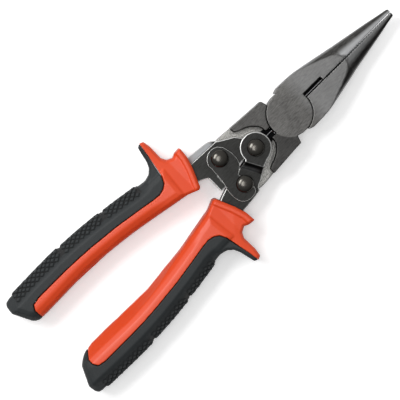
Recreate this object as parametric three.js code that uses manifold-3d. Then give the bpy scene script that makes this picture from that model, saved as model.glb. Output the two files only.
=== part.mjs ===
// Compound-action long-nose pliers with a hook latch, in millimetres.
//
// Two jaws cross at the main pivot. Behind it each jaw ends in a thin tongue, and a handle lever is
// riveted to each tongue. A rivet in the middle joins the two levers, so the four pieces make a
// toggle linkage that multiplies the grip force.
//
// Frame: the origin is on the main pivot axis, at the flat back of the joint. +X runs to the tip of
// the nose, +Y to the left jaw and +Z out of the front. Inside the file every piece is drawn about
// the middle plane of the jaws, and the group is lifted by half their thickness at the end.
// "Own" coordinates are those of one side: its y is positive, and the other side is its mirror.
import * as THREE from 'three';
import { mergeVertices } from 'three/addons/utils/BufferGeometryUtils.js';
import Module from 'manifold-3d';

const wasm = await Module();
wasm.setup();

// Driving dimensions.
const LEFT = 1;
const RIGHT = -1;
const GAP = 0.3; // running gap between neighbouring pieces
const SLIM_GAP = 0.1; // gap between the flat faces of a rivet's stack
const FAR = 60; // reach of a cutting block, past everything it cuts

const JAW_HALF = 6; // half the thickness of the jaws
const LAP_HALF_GAP = 0.15; // half the gap between the lapped halves, and between the closed jaws
const DISC_RADIUS = 11.3; // lapped joint disc
const TIP_X = 69.6;
const TONGUE_HALF = 2.3; // half the thickness of a tail's tongue

const RIVET_X = -39.3; // lever rivets, one on each side
const RIVET_Y = 8.6;
const CENTRE_X = -23.3; // rivet that joins the two levers
const TONGUE_END_RADIUS = 5.7;

const CHEEK_INNER = 2.5; // a lever's two cheeks, measured from the middle plane
const CHEEK_OUTER = 5.3;
const EYE_INNER = 5.45; // right lever's raised eye, outside the left lever's cheeks
const EYE_OUTER = 8;
const EYE_RADIUS = 7.7;
const LEFT_EYE_RADIUS = 7.3;
const SHAFT_RADIUS = 3; // every lever rivet
const BORE_RADIUS = SHAFT_RADIUS + GAP;
const OPEN_BORE_RADIUS = SHAFT_RADIUS + 0.65; // left lever's eye, which takes up the linkage's play
const HEAD_RADIUS = 4.3;

const WASHER_THICKNESS = 0.6;
const WAVE_BASE = CHEEK_OUTER + SLIM_GAP;
const WAVE_THICKNESS = 0.4;
const WAVE_RADIUS = 5.2;
const LATCH_BASE = WAVE_BASE + WAVE_THICKNESS + SLIM_GAP;
const LATCH_THICKNESS = 1.4;
const LATCH_TOP = LATCH_BASE + LATCH_THICKNESS;
const NECK_RADIUS = 2.5; // right rivet, where the latch hooks round it
const NOTCH_RADIUS = 2.8;
const NOTCH_SLOPE = -0.49; // radians: the way the neck leaves the notch

const PIVOT_SHAFT_RADIUS = 4;
const PIVOT_HEAD_RADIUS = 6;
const PIVOT_HEAD_HEIGHT = 1.6;
const PIVOT_WASHER_HEIGHT = 0.5;
const PIVOT_END = 4.4; // blind end of the pivot pin, above the middle plane

const SPRING_WIRE = 0.9;
const SPRING_TURNS = 2.5;
const SPRING_HALF = 2.2; // half the coil's height
const SPRING_RADIUS = 5.2; // to the middle of the wire
const SPRING_LEG_Y = 1.95;
const SPRING_LEG_END_X = -43.5;
const SPRING_LEG_SHARE = 0.14; // each leg's share of the wire
const SPRING_BEND_SHARE = 0.6; // how much of a leg bends towards the coil
const SPRING_FACES = 16; // round the wire
const SPRING_STEPS = 72; // along the wire

const GRIP_HALF = 10.6; // half the thickness of a grip
const GRIP_ROUND = 4.5; // rounding of its edges
const GUARD_HALF = 9.5; // half the thickness of the thumb guard and collar
const GUARD_ROUND = 1.2;
const SPINE_HALF = 7; // half the thickness of the core's spine under the overmould
const TANG_HALF = 2.6; // half the thickness of a lever's tang
// The right grip sits a little nearer the middle than the left one, in its own coordinates.
const GRIP_SHIFT = { [LEFT]: [0, 0], [RIGHT]: [1.2, -1.6] };

// Materials.
function steel(color, roughness) {
  return new THREE.MeshStandardMaterial({ color, roughness, metalness: 1 });
}

function plastic(color, roughness) {
  return new THREE.MeshStandardMaterial({ color, roughness, metalness: 0 });
}

const jawSteel = () => steel('#4b4d50', 0.4);
const leverSteel = () => steel('#2f3134', 0.42);
const rivetSteel = () => steel('#3a3c40', 0.25);
const springSteel = () => steel('#8a8c8e', 0.35);
const orangePlastic = () => plastic('#f05a2c', 0.5);
const blackRubber = () => plastic('#2b3236', 0.7);

// Closed three.js geometry to a solid, and back.
function solidOf(geometry) {
  const bare = geometry.index ? geometry.toNonIndexed() : geometry;
  bare.deleteAttribute('normal');
  bare.deleteAttribute('uv');
  const merged = mergeVertices(bare, 1e-4);
  const mesh = new wasm.Mesh({
    numProp: 3,
    vertProperties: new Float32Array(merged.attributes.position.array),
    triVerts: new Uint32Array(merged.index.array),
  });
  return new wasm.Manifold(mesh);
}

function geometryOf(solid) {
  const { vertProperties, triVerts } = solid.getMesh();
  const geometry = new THREE.BufferGeometry();
  geometry.setAttribute('position', new THREE.BufferAttribute(vertProperties, 3));
  geometry.setIndex(new THREE.BufferAttribute(triVerts, 1));
  geometry.computeVertexNormals();
  return geometry;
}

// Outlines.
function smooth(points, steps) {
  const curve = new THREE.SplineCurve(points.map(([x, y]) => new THREE.Vector2(x, y)));
  return curve.getPoints(steps).map(({ x, y }) => [x, y]);
}

function arc(centreX, centreY, radius, fromDegrees, toDegrees, steps) {
  return Array.from({ length: steps + 1 }, (_, step) => {
    const angle = THREE.MathUtils.degToRad(fromDegrees + ((toDegrees - fromDegrees) * step) / steps);
    return [centreX + radius * Math.cos(angle), centreY + radius * Math.sin(angle)];
  });
}

function onSide(side, points) {
  return points.map(([x, y]) => [x, side * y]);
}

function onGrip(side, points) {
  const [shiftX, shiftY] = GRIP_SHIFT[side];
  return onSide(side, points.map(([x, y]) => [x + shiftX, y + shiftY]));
}

// Basic solids.
function slab(outline, fromZ, toZ) {
  const shape = new THREE.Shape(outline.map(([x, y]) => new THREE.Vector2(x, y)));
  const geometry = new THREE.ExtrudeGeometry(shape, { depth: toZ - fromZ, bevelEnabled: false });
  return solidOf(geometry.translate(0, 0, fromZ));
}

function roundedSlab(outline, half, round, roundSteps) {
  const shape = new THREE.Shape(outline.map(([x, y]) => new THREE.Vector2(x, y)));
  const geometry = new THREE.ExtrudeGeometry(shape, {
    depth: 2 * (half - round),
    bevelThickness: round,
    bevelSize: round,
    bevelOffset: -round,
    bevelSegments: roundSteps,
  });
  return solidOf(geometry.translate(0, 0, round - half));
}

function disc(x, y, radius, fromZ, toZ, sides = 32) {
  const geometry = new THREE.CylinderGeometry(radius, radius, toZ - fromZ, sides);
  geometry.rotateX(Math.PI / 2);
  return solidOf(geometry.translate(x, y, (fromZ + toZ) / 2));
}

function block(fromX, toX, fromY, toY, fromZ, toZ) {
  const geometry = new THREE.BoxGeometry(toX - fromX, toY - fromY, toZ - fromZ);
  return solidOf(geometry.translate((fromX + toX) / 2, (fromY + toY) / 2, (fromZ + toZ) / 2));
}

// A turned piece: its profile is a list of [radius, z] that starts and ends on the axis.
function turned(x, y, profile, sides = 28) {
  const geometry = new THREE.LatheGeometry(profile.map(([r, z]) => new THREE.Vector2(r, z)), sides);
  geometry.rotateX(Math.PI / 2);
  return solidOf(geometry.translate(x, y, 0));
}

function ring(x, y, inner, outer, fromZ, toZ) {
  return disc(x, y, outer, fromZ, toZ).subtract(disc(x, y, inner, fromZ - 1, toZ + 1));
}

function unite(solids) {
  return solids.reduce((sum, solid) => sum.add(solid));
}

function cut(solid, tools) {
  return tools.reduce((rest, tool) => rest.subtract(tool), solid);
}

// Jaws.
const NOSE_EDGE = [
  [4, 12.9], [12, 12.7], [18, 12], [26, 10.5], [34, 8.9],
  [42, 7.4], [50, 5.9], [58, 4.4], [65, 2.9], [68.6, 2.3],
];
// Front-to-back taper of the nose: half its thickness at each x, before the flats cut it.
const NOSE_TAPER = [
  [-5, 60], [8, 24], [12, 14], [16.4, 10.6], [22, 9.4], [27.1, 8.4], [31, 7.65],
  [34.3, 7], [36.8, 6.3], [37.3, 6], [42, 5.4], [50, 4.4], [58, 3.4], [65, 2.5], [TIP_X + 0.4, 2.1],
];
const NOSE_WIDENING = 1.39; // width of the taper's section over its thickness
const NOSE_TIP_HALF = 1.9; // half the width of the closed tip
const NOSE_START_X = 1.8;
const HEEL_Y = 12.2; // outer corner of the nose's heel
const TOOTH_START_X = 25;
const TOOTH_PITCH = 1.5;
const TOOTH_WIDTH = 1.35;
const TOOTH_DEPTH = 0.35;
const CUTTER_RELIEF = { fromX: 11.2, toX: 23, depth: 2.2, floor: -3 };

const SHOULDER_HUG = [
  [-25.3, 12.8], [-24, 11.8], [-20, 10.4], [-17.5, 8.8], [-15.2, 6.5], [-14.2, 4.2], [-14.2, 2.4],
];
const WEB_HUG_RADIUS = 7;
const SHOULDER_START = [[-4.5, 9.5], [-5.8, 14]];
const SHOULDER_BACK = [[-9, 14.1], [-15, 14.5], [-21, 14.9], [-25.5, 15.3]];
const SHOULDER_END = [[-13.4, 2.2], [-8, 2.2]];
const TONGUE_START = [[-11.7, 2.3], [-11.7, 0.2], [-16.1, 0.2]];
const TONGUE_INNER = [[-28, 6.1], [-32, 4.7], [-36.5, 3.4]];
const TONGUE_OUTER = [[-38.5, 14.8], [-35.5, 15.7], [-32, 15.8], [-25.3, 15.2]];
const TONGUE_ROOT = [[-20, 12.5], [-14, 8]];

function noseTaper() {
  const first = NOSE_TAPER[0];
  const last = NOSE_TAPER[NOSE_TAPER.length - 1];
  const profile = [[0, first[0]], ...NOSE_TAPER.map(([x, r]) => [r, x]), [0, last[0]]];
  const geometry = new THREE.LatheGeometry(profile.map(([r, x]) => new THREE.Vector2(r, x)), 56);
  geometry.rotateZ(-Math.PI / 2);
  geometry.scale(1, NOSE_WIDENING, 1);
  return solidOf(geometry);
}

function nose(side) {
  const outline = [
    [NOSE_START_X, LAP_HALF_GAP],
    [TIP_X, LAP_HALF_GAP],
    [TIP_X, NOSE_TIP_HALF],
    ...smooth(NOSE_EDGE, 22).reverse(),
    [NOSE_START_X, HEEL_Y],
  ];
  const teeth = [];
  for (let x = TOOTH_START_X; x < TIP_X - TOOTH_PITCH; x += TOOTH_PITCH) {
    const tooth = [
      [x, -1],
      [x, LAP_HALF_GAP],
      [x + TOOTH_PITCH / 2, LAP_HALF_GAP + TOOTH_DEPTH],
      [x + TOOTH_WIDTH, LAP_HALF_GAP],
      [x + TOOTH_WIDTH, -1],
    ];
    teeth.push(slab(onSide(side, tooth), -FAR, FAR));
  }
  const body = slab(onSide(side, outline), -JAW_HALF, JAW_HALF).intersect(noseTaper());
  return cut(body, teeth);
}

function tail(side) {
  const shoulder = [
    ...SHOULDER_START,
    ...smooth(SHOULDER_BACK, 4),
    ...smooth(SHOULDER_HUG, 10),
    ...SHOULDER_END,
  ];
  const tongue = [
    ...TONGUE_START,
    ...arc(CENTRE_X, 0, WEB_HUG_RADIUS, 5, 95, 10),
    ...smooth(TONGUE_INNER, 4),
    ...arc(RIVET_X, RIVET_Y, TONGUE_END_RADIUS, 270, 125, 12),
    ...smooth(TONGUE_OUTER, 6),
    ...TONGUE_ROOT,
  ];
  return slab(onSide(side, shoulder), -JAW_HALF, JAW_HALF)
    .add(slab(onSide(side, tongue), -TONGUE_HALF, TONGUE_HALF))
    .subtract(disc(RIVET_X, side * RIVET_Y, BORE_RADIUS, -FAR, FAR));
}

// A jaw is its nose, the tail of the other side, and its half of the lapped disc.
function jaw(noseSide, discFromZ, discToZ, clearFromZ, clearToZ) {
  const arms = nose(noseSide).add(tail(-noseSide));
  const cleared = arms.subtract(disc(0, 0, DISC_RADIUS + GAP, clearFromZ, clearToZ, 64));
  return cleared.add(disc(0, 0, DISC_RADIUS, discFromZ, discToZ, 64));
}

function leftJaw() {
  const { fromX, toX, depth, floor } = CUTTER_RELIEF;
  const relief = block(fromX, toX, -1, depth, floor, FAR);
  const pinHole = disc(0, 0, PIVOT_SHAFT_RADIUS + GAP, -FAR, PIVOT_END + GAP);
  return cut(jaw(LEFT, LAP_HALF_GAP, JAW_HALF, -FAR, LAP_HALF_GAP), [relief, pinHole]);
}

function rightJaw() {
  const headTop = -JAW_HALF + PIVOT_HEAD_HEIGHT + PIVOT_WASHER_HEIGHT + 2 * SLIM_GAP;
  const pinHole = disc(0, 0, PIVOT_SHAFT_RADIUS + GAP, -FAR, FAR);
  const counterbore = disc(0, 0, PIVOT_HEAD_RADIUS + GAP, -FAR, headTop);
  return cut(jaw(RIGHT, -JAW_HALF, -LAP_HALF_GAP, -LAP_HALF_GAP, FAR), [pinHole, counterbore]);
}

function pivotPin() {
  return turned(0, 0, [
    [0, -JAW_HALF],
    [PIVOT_HEAD_RADIUS - 0.4, -JAW_HALF],
    [PIVOT_HEAD_RADIUS, -JAW_HALF + 0.4],
    [PIVOT_HEAD_RADIUS, -JAW_HALF + PIVOT_HEAD_HEIGHT],
    [PIVOT_SHAFT_RADIUS, -JAW_HALF + PIVOT_HEAD_HEIGHT],
    [PIVOT_SHAFT_RADIUS, PIVOT_END - 0.5],
    [PIVOT_SHAFT_RADIUS - 0.5, PIVOT_END],
    [0, PIVOT_END],
  ]);
}

function pivotWasher() {
  const base = -JAW_HALF + PIVOT_HEAD_HEIGHT + SLIM_GAP;
  return ring(0, 0, PIVOT_SHAFT_RADIUS + GAP, PIVOT_HEAD_RADIUS, base, base + PIVOT_WASHER_HEIGHT);
}

// Levers. Each is a forging with two cheeks that straddle its jaw's tongue, and a tang in its grip.
const TANG_LINE = [[-56, 14.2], [-66, 16], [-80, 18], [-96, 19.9], [-110, 20.9], [-140, 22]];
const TANG_HALF_WIDTH = 4;
const SHANK_END_X = -58;

// A band of even width along a centre line, with square ends.
function band(line, halfWidth, steps) {
  const curve = new THREE.SplineCurve(line.map(([x, y]) => new THREE.Vector2(x, y)));
  const edge = (sign) =>
    Array.from({ length: steps + 1 }, (_, step) => {
      const point = curve.getPoint(step / steps);
      const tangent = curve.getTangent(step / steps);
      return [point.x - sign * halfWidth * tangent.y, point.y + sign * halfWidth * tangent.x];
    });
  return [...edge(1), ...edge(-1).reverse()];
}

function tang(side, extra) {
  const half = TANG_HALF + extra;
  return slab(onGrip(side, band(TANG_LINE, TANG_HALF_WIDTH + extra, 10)), -half, half);
}

const SHANK_REAR = [[-52, 19.5], [SHANK_END_X, 19.4], [SHANK_END_X, 9.2], [-52, 6.8]];
const SLOT_RADIUS = 7.6; // clearance for the end of a tongue
const LEFT_OUTER_EDGE = [
  [-27, 11], [-30, 12.7], [-33.4, 14.7], [-36, 17], [-38.5, 18.2], [-44, 18.9], [-50, 19.4],
];
const STOP_LUG = [[-49.8, 5.5], [-49.8, -3.3], [-46.2, -3.3], [-46, 3.6]];
const LEFT_INNER_EDGE = [[-44.5, 3.6], [-40, 2.9], [-36.8, 1.8], [-34.5, 0], [-31, 0]];
const RIGHT_OUTER_EDGE = [
  [-18.4, 5.9], [-20.5, 7.2], [-24, 8.2], [-28, 10], [-31.5, 12.5],
  [-34, 13.6], [-36, 14.8], [-37, 16.4], [-49, 17.6],
];
const RIGHT_SHANK_INNER = [-48, 4.3];
const RIGHT_INNER_EDGE = [[-41, 3.4], [-37.5, 2.6], [-35.8, 1.6], [-33, 1.4], [-30.8, 0.6]];

function tongueSlot(side) {
  const round = disc(RIVET_X, side * RIVET_Y, SLOT_RADIUS, -CHEEK_INNER, CHEEK_INNER);
  const open = block(RIVET_X, FAR, -FAR, FAR, -CHEEK_INNER, CHEEK_INNER);
  return round.add(open);
}

function leftLever() {
  const cheek = [
    ...arc(CENTRE_X, 0, LEFT_EYE_RADIUS, 200, 455, 20),
    ...smooth(LEFT_OUTER_EDGE, 12),
    ...SHANK_REAR,
    ...STOP_LUG,
    ...smooth(LEFT_INNER_EDGE, 5),
  ];
  const body = slab(onSide(LEFT, cheek), -CHEEK_OUTER, CHEEK_OUTER).subtract(tongueSlot(LEFT));
  return cut(body.add(tang(LEFT, 0)), [
    disc(RIVET_X, RIVET_Y, BORE_RADIUS, -FAR, FAR),
    disc(CENTRE_X, 0, OPEN_BORE_RADIUS, -FAR, FAR),
  ]);
}

// The right lever's cheeks ramp outward towards the middle rivet, to straddle the left lever's eye.
// The ramp is drawn as a side view: [distance along the rivet line, z], measured from the middle rivet.
const RAMP_FOOT = -11.3;
const RAMP_TOP = -7.9;
const RAMP_SHIFT = 0.4; // keeps the cheek's thickness through the ramp

function steppedCheek() {
  const sideView = [
    [-FAR, CHEEK_INNER],
    [RAMP_FOOT + RAMP_SHIFT, CHEEK_INNER],
    [RAMP_TOP + RAMP_SHIFT, EYE_INNER],
    [FAR, EYE_INNER],
    [FAR, EYE_OUTER],
    [RAMP_TOP, EYE_OUTER],
    [RAMP_FOOT, CHEEK_OUTER],
    [-FAR, CHEEK_OUTER],
  ];
  const shape = new THREE.Shape(sideView.map(([along, z]) => new THREE.Vector2(along, z)));
  const geometry = new THREE.ExtrudeGeometry(shape, { depth: 2 * FAR, bevelEnabled: false });
  geometry.translate(0, 0, -FAR);
  geometry.rotateX(Math.PI / 2);
  geometry.rotateZ(Math.atan2(RIVET_Y, CENTRE_X - RIVET_X));
  return solidOf(geometry.translate(CENTRE_X, 0, 0));
}

function rightLever() {
  const [shiftX, shiftY] = GRIP_SHIFT[RIGHT];
  const rear = SHANK_REAR.map(([x, y]) => [x + shiftX, y + shiftY]);
  const outline = onSide(RIGHT, [
    ...arc(CENTRE_X, 0, EYE_RADIUS, 180, 410, 24),
    ...smooth(RIGHT_OUTER_EDGE, 14),
    ...rear,
    RIGHT_SHANK_INNER,
    ...smooth(RIGHT_INNER_EDGE, 6),
  ]);
  const front = slab(outline, -FAR, FAR).intersect(steppedCheek());
  const behindRivet = block(-2 * FAR, RIVET_X, -FAR, FAR, -CHEEK_OUTER, CHEEK_OUTER);
  const shank = slab(outline, -CHEEK_OUTER, CHEEK_OUTER).intersect(behindRivet).subtract(tongueSlot(RIGHT));
  const body = unite([front, front.mirror([0, 0, 1]), shank, tang(RIGHT, 0)]);
  return cut(body, [
    disc(RIVET_X, -RIVET_Y, BORE_RADIUS, -FAR, FAR),
    disc(CENTRE_X, 0, BORE_RADIUS, -FAR, FAR),
  ]);
}

// Rivets: a shaft with a domed head in front and a flatter one behind.
const HEAD_HEIGHT = 2.2;
const REAR_HEAD_HEIGHT = 1.5;

function rivet(x, y, shaftProfile, frontZ, backZ) {
  return turned(x, y, [
    [0, backZ - REAR_HEAD_HEIGHT],
    [HEAD_RADIUS * 0.65, backZ - REAR_HEAD_HEIGHT],
    [HEAD_RADIUS * 0.92, backZ - REAR_HEAD_HEIGHT * 0.6],
    [HEAD_RADIUS, backZ],
    [SHAFT_RADIUS, backZ],
    ...shaftProfile,
    [HEAD_RADIUS, frontZ],
    [HEAD_RADIUS * 0.97, frontZ + HEAD_HEIGHT * 0.4],
    [HEAD_RADIUS * 0.75, frontZ + HEAD_HEIGHT * 0.8],
    [HEAD_RADIUS * 0.4, frontZ + HEAD_HEIGHT],
    [0, frontZ + HEAD_HEIGHT],
  ]);
}

const SIDE_BACK = -CHEEK_OUTER - 2 * SLIM_GAP - WASHER_THICKNESS;
const CENTRE_BACK = -EYE_OUTER - 2 * SLIM_GAP - WASHER_THICKNESS;
const SIDE_FRONT = LATCH_TOP + SLIM_GAP;
const CENTRE_FRONT = EYE_OUTER + SLIM_GAP;

function leftRivet() {
  return rivet(RIVET_X, RIVET_Y, [[SHAFT_RADIUS, SIDE_FRONT]], SIDE_FRONT, SIDE_BACK);
}

function rightRivet() {
  const shaft = [[SHAFT_RADIUS, CHEEK_OUTER], [NECK_RADIUS, CHEEK_OUTER], [NECK_RADIUS, SIDE_FRONT]];
  return rivet(RIVET_X, -RIVET_Y, shaft, SIDE_FRONT, SIDE_BACK);
}

function centreRivet() {
  return rivet(CENTRE_X, 0, [[SHAFT_RADIUS, CENTRE_FRONT]], CENTRE_FRONT, CENTRE_BACK);
}

function rearWasher(x, y, headBack) {
  const from = headBack + SLIM_GAP;
  return ring(x, y, BORE_RADIUS, HEAD_RADIUS + 0.5, from, from + WASHER_THICKNESS);
}

// Opening spring: a torsion coil round the middle rivet's sleeve, with two legs along the levers.
const SLEEVE_INNER = SHAFT_RADIUS + 0.15;
const SLEEVE_OUTER = 4;
const SLEEVE_HALF = 2.3;

function springSleeve() {
  return ring(CENTRE_X, 0, SLEEVE_INNER, SLEEVE_OUTER, -SLEEVE_HALF, SLEEVE_HALF);
}

// A point of the upper leg. Its end is 0 and the start of the coil is 1.
function springLeg(along) {
  const bend = Math.max(0, along - 1 + SPRING_BEND_SHARE) / SPRING_BEND_SHARE;
  const x = THREE.MathUtils.lerp(SPRING_LEG_END_X, CENTRE_X, along);
  return [x, THREE.MathUtils.lerp(SPRING_LEG_Y, SPRING_RADIUS, bend)];
}

// The wire's middle line: a straight leg, the coil, and the other leg.
class SpringPath extends THREE.Curve {
  getPoint(t, target = new THREE.Vector3()) {
    const top = SPRING_HALF - SPRING_WIRE / 2;
    if (t < SPRING_LEG_SHARE) {
      const [x, y] = springLeg(t / SPRING_LEG_SHARE);
      return target.set(x, y, -top);
    }
    if (t > 1 - SPRING_LEG_SHARE) {
      const [x, y] = springLeg((1 - t) / SPRING_LEG_SHARE);
      return target.set(x, -y, top);
    }
    const turn = (t - SPRING_LEG_SHARE) / (1 - 2 * SPRING_LEG_SHARE);
    const angle = Math.PI / 2 - turn * 2 * Math.PI * SPRING_TURNS;
    const x = CENTRE_X + SPRING_RADIUS * Math.cos(angle);
    return target.set(x, SPRING_RADIUS * Math.sin(angle), THREE.MathUtils.lerp(-top, top, turn));
  }
}

function openingSpring() {
  const section = new THREE.Shape();
  section.absarc(0, 0, SPRING_WIRE / 2, 0, 2 * Math.PI);
  const geometry = new THREE.ExtrudeGeometry(section, {
    steps: SPRING_STEPS,
    curveSegments: SPRING_FACES / 4,
    bevelEnabled: false,
    extrudePath: new SpringPath(),
  });
  return solidOf(geometry);
}

// Latch plate on the left rivet, hooked round the right rivet's neck.
const LATCH_EYE = { x: -39.6, y: 8.2, radius: 6.3 };
const LATCH_BACK = [
  [-45.6, 7], [-46, 2], [-46.5, -2], [-47.4, -5], [-47.7, -9],
  [-47, -12.5], [-45, -14.9], [-41.6, -15.8], [-38.2, -15.1], [-37, -12.9],
];
const LATCH_TOE = [-38, -6];
const LATCH_FRONT = [
  [-38.3, -3.2], [-35.9, -1.5], [-34.3, 0], [-33.5, 2.2], [-33.2, 5], [-33.5, 8], [-34.4, 11.4],
];
const NOTCH_MOUTH_X = -27;
const NOTCH_MOUTH_Y = -17.6;
const NOTCH_LIP_Y = -6;
const NOTCH_LIP_X = -37;

function latchPlate() {
  const outline = [
    ...arc(LATCH_EYE.x, LATCH_EYE.y, LATCH_EYE.radius, 58, 165, 8),
    ...smooth(LATCH_BACK, 20),
    LATCH_TOE,
    ...smooth(LATCH_FRONT, 12),
  ];
  const notch = [
    ...arc(RIVET_X, -RIVET_Y, NOTCH_RADIUS, 90, 270 + THREE.MathUtils.radToDeg(NOTCH_SLOPE), 12),
    [NOTCH_MOUTH_X, NOTCH_MOUTH_Y],
    [NOTCH_MOUTH_X, NOTCH_LIP_Y + NOTCH_RADIUS],
    [NOTCH_LIP_X, -RIVET_Y + NOTCH_RADIUS],
  ];
  return cut(slab(outline, LATCH_BASE, LATCH_TOP), [
    slab(notch, -FAR, FAR),
    disc(RIVET_X, RIVET_Y, BORE_RADIUS, -FAR, FAR),
  ]);
}

function latchWaveWasher() {
  return ring(RIVET_X, RIVET_Y, BORE_RADIUS, WAVE_RADIUS, WAVE_BASE, WAVE_BASE + WAVE_THICKNESS);
}

// Grips: an orange core, moulded over the tang, and a black overmould on the outer side.
const GRIP_OUTER = [
  [-60, 26], [-72, 26.1], [-77, 26.7], [-85, 28], [-92, 29.2], [-102, 30.5],
  [-110, 31.4], [-118, 32.1], [-130, 32.7], [-145, 32.7], [-157.6, 32.5],
];
const GRIP_END = [
  ...arc(-157.6, 27.1, 5.4, 90, 190, 5),
  ...arc(-154, 20.2, 5.5, 195, 268, 4),
];
const GRIP_INNER = [
  [-150, 14.7], [-145, 14.8], [-125, 15.2], [-115, 14.8], [-105, 13.8],
  [-95, 12.6], [-85, 11], [-75, 9.2], [-62, 6.9],
];
const GUARD_OUTLINE = [
  [-74, 26], [-72, 26.1], [-69.2, 26.9], [-66.9, 29], [-65.7, 32], [-64.8, 36], [-63.9, 39.8],
  [-61.7, 41], [-59.6, 40], [-59, 36], [-59.2, 28.6], [-57.9, 26], [-55.2, 24.6],
  [-53, 25.6], [-49.4, 25.9], [-49.7, 21], [-51.6, 14.8], [-55.6, 5.4], [-57, 4.9], [-61, 6.5], [-74, 12],
];
// Edge between the orange core and the overmould, from the grip's end round to the guard's tip.
const LOBE_EDGE = [
  [-153.5, 19.5], [-152, 22], [-148, 22.8], [-130, 22.8], [-122, 22.6], [-113, 22],
  [-105, 21.2], [-97, 20.4], [-90, 19.3], [-83, 18.2], [-76, 17], [-72, 16.6], [-69, 17.3],
  [-66.5, 19], [-65, 22], [-64.4, 25], [-63.5, 30], [-62.5, 35], [-61.3, 44],
];
const LOBE_FAR_X = -40; // past the core, where its region is closed off
const LOBE_FAR_Y = 44;
const LOBE_NEAR_Y = -5;
const SPINE_LINE = [[-58, 14.6], [-66, 16], [-80, 17.6], [-96, 19.6], [-110, 20.6], [-147, 22]];
const SPINE_HALF_WIDTH = 6.2;
const POCKET_OUTLINE = [[-40, 20.4], [-58.6, 20.2], [-58.6, 8.6], [-52, 6.2], [-40, 3]];

function gripBody(side) {
  const outline = [...smooth(GRIP_OUTER, 16), ...GRIP_END.slice(1), ...smooth(GRIP_INNER, 14)];
  const handle = roundedSlab(onGrip(side, outline), GRIP_HALF, GRIP_ROUND, 3);
  const guard = roundedSlab(onGrip(side, GUARD_OUTLINE), GUARD_HALF, GUARD_ROUND, 1);
  return handle.add(guard);
}

function orangeRegion(side) {
  const [startX] = LOBE_EDGE[0];
  const around = [[LOBE_FAR_X, LOBE_FAR_Y], [LOBE_FAR_X, LOBE_NEAR_Y], [startX, LOBE_NEAR_Y]];
  const outline = [...LOBE_EDGE, ...around];
  return slab(onGrip(side, outline), -FAR, FAR);
}

function spine(side, extra) {
  const half = SPINE_HALF + extra;
  return slab(onGrip(side, band(SPINE_LINE, SPINE_HALF_WIDTH + extra, 12)), -half, half);
}

function leverPocket(side) {
  const half = CHEEK_OUTER + GAP;
  return slab(onGrip(side, POCKET_OUTLINE), -half, half).add(tang(side, GAP));
}

function gripCore(side) {
  const shape = gripBody(side).intersect(orangeRegion(side)).add(spine(side, 0));
  return shape.subtract(leverPocket(side));
}

function gripOvermould(side) {
  const edgeGap = side * GAP;
  return cut(gripBody(side), [
    orangeRegion(side),
    orangeRegion(side).translate([-GAP, edgeGap, 0]),
    spine(side, GAP),
  ]);
}

// Assembly.
const pliers = new THREE.Group();
pliers.position.z = JAW_HALF;

function place(name, solid, material) {
  const mesh = new THREE.Mesh(geometryOf(solid), material);
  mesh.name = name;
  pliers.add(mesh);
}

place('jaw_left', leftJaw(), jawSteel());
place('jaw_right', rightJaw(), jawSteel());
place('main_pivot_pin', pivotPin(), rivetSteel());
place('main_pivot_washer', pivotWasher(), springSteel());
place('lever_left', leftLever(), leverSteel());
place('lever_right', rightLever(), leverSteel());
place('centre_rivet', centreRivet(), rivetSteel());
place('left_rivet', leftRivet(), rivetSteel());
place('right_rivet', rightRivet(), rivetSteel());
place('centre_rear_washer', rearWasher(CENTRE_X, 0, CENTRE_BACK), rivetSteel());
place('left_rear_washer', rearWasher(RIVET_X, RIVET_Y, SIDE_BACK), rivetSteel());
place('right_rear_washer', rearWasher(RIVET_X, -RIVET_Y, SIDE_BACK), rivetSteel());
place('spring_sleeve', springSleeve(), springSteel());
place('opening_spring', openingSpring(), springSteel());
place('latch_plate', latchPlate(), leverSteel());
place('latch_wave_washer', latchWaveWasher(), springSteel());
for (const [name, side] of [['left', LEFT], ['right', RIGHT]]) {
  place(`${name}_grip_core`, gripCore(side), orangePlastic());
  place(`${name}_grip_overmould`, gripOvermould(side), blackRubber());
}

export default pliers;
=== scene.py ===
"""Compound-action long-nose pliers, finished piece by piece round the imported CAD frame.

The frame's origin is on the main pivot axis at the back of the joint. +X runs to the tip of the nose,
+Y to the left jaw and +Z out of the front. Sizes below are in millimetres unless a name says metres.
"""

import logging
import math
from dataclasses import dataclass, field
from enum import Enum
from typing import Iterable, Sequence

import bmesh
import bpy
import numpy as np
from mathutils import Matrix, Vector
from mathutils.bvhtree import BVHTree


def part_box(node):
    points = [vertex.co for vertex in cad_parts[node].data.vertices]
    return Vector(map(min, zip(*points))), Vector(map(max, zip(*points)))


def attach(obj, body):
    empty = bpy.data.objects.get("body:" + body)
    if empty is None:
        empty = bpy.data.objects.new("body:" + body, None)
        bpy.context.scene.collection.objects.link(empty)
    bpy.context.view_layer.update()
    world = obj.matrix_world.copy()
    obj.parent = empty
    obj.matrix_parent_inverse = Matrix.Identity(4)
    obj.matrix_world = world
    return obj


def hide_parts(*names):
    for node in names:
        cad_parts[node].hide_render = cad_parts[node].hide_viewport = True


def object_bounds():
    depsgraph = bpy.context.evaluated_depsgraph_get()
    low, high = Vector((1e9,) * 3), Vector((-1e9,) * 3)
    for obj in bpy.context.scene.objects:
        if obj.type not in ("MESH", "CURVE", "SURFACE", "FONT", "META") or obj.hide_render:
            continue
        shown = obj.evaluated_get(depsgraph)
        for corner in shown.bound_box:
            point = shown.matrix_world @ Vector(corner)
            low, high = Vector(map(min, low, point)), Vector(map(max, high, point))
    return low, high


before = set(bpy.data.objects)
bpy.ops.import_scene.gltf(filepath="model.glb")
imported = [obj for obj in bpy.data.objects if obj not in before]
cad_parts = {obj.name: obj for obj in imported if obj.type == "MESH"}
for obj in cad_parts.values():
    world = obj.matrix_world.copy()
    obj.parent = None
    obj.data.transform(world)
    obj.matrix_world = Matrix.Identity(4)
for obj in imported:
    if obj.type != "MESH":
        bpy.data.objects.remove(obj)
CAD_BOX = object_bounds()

log = logging.getLogger("pliers")

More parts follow.
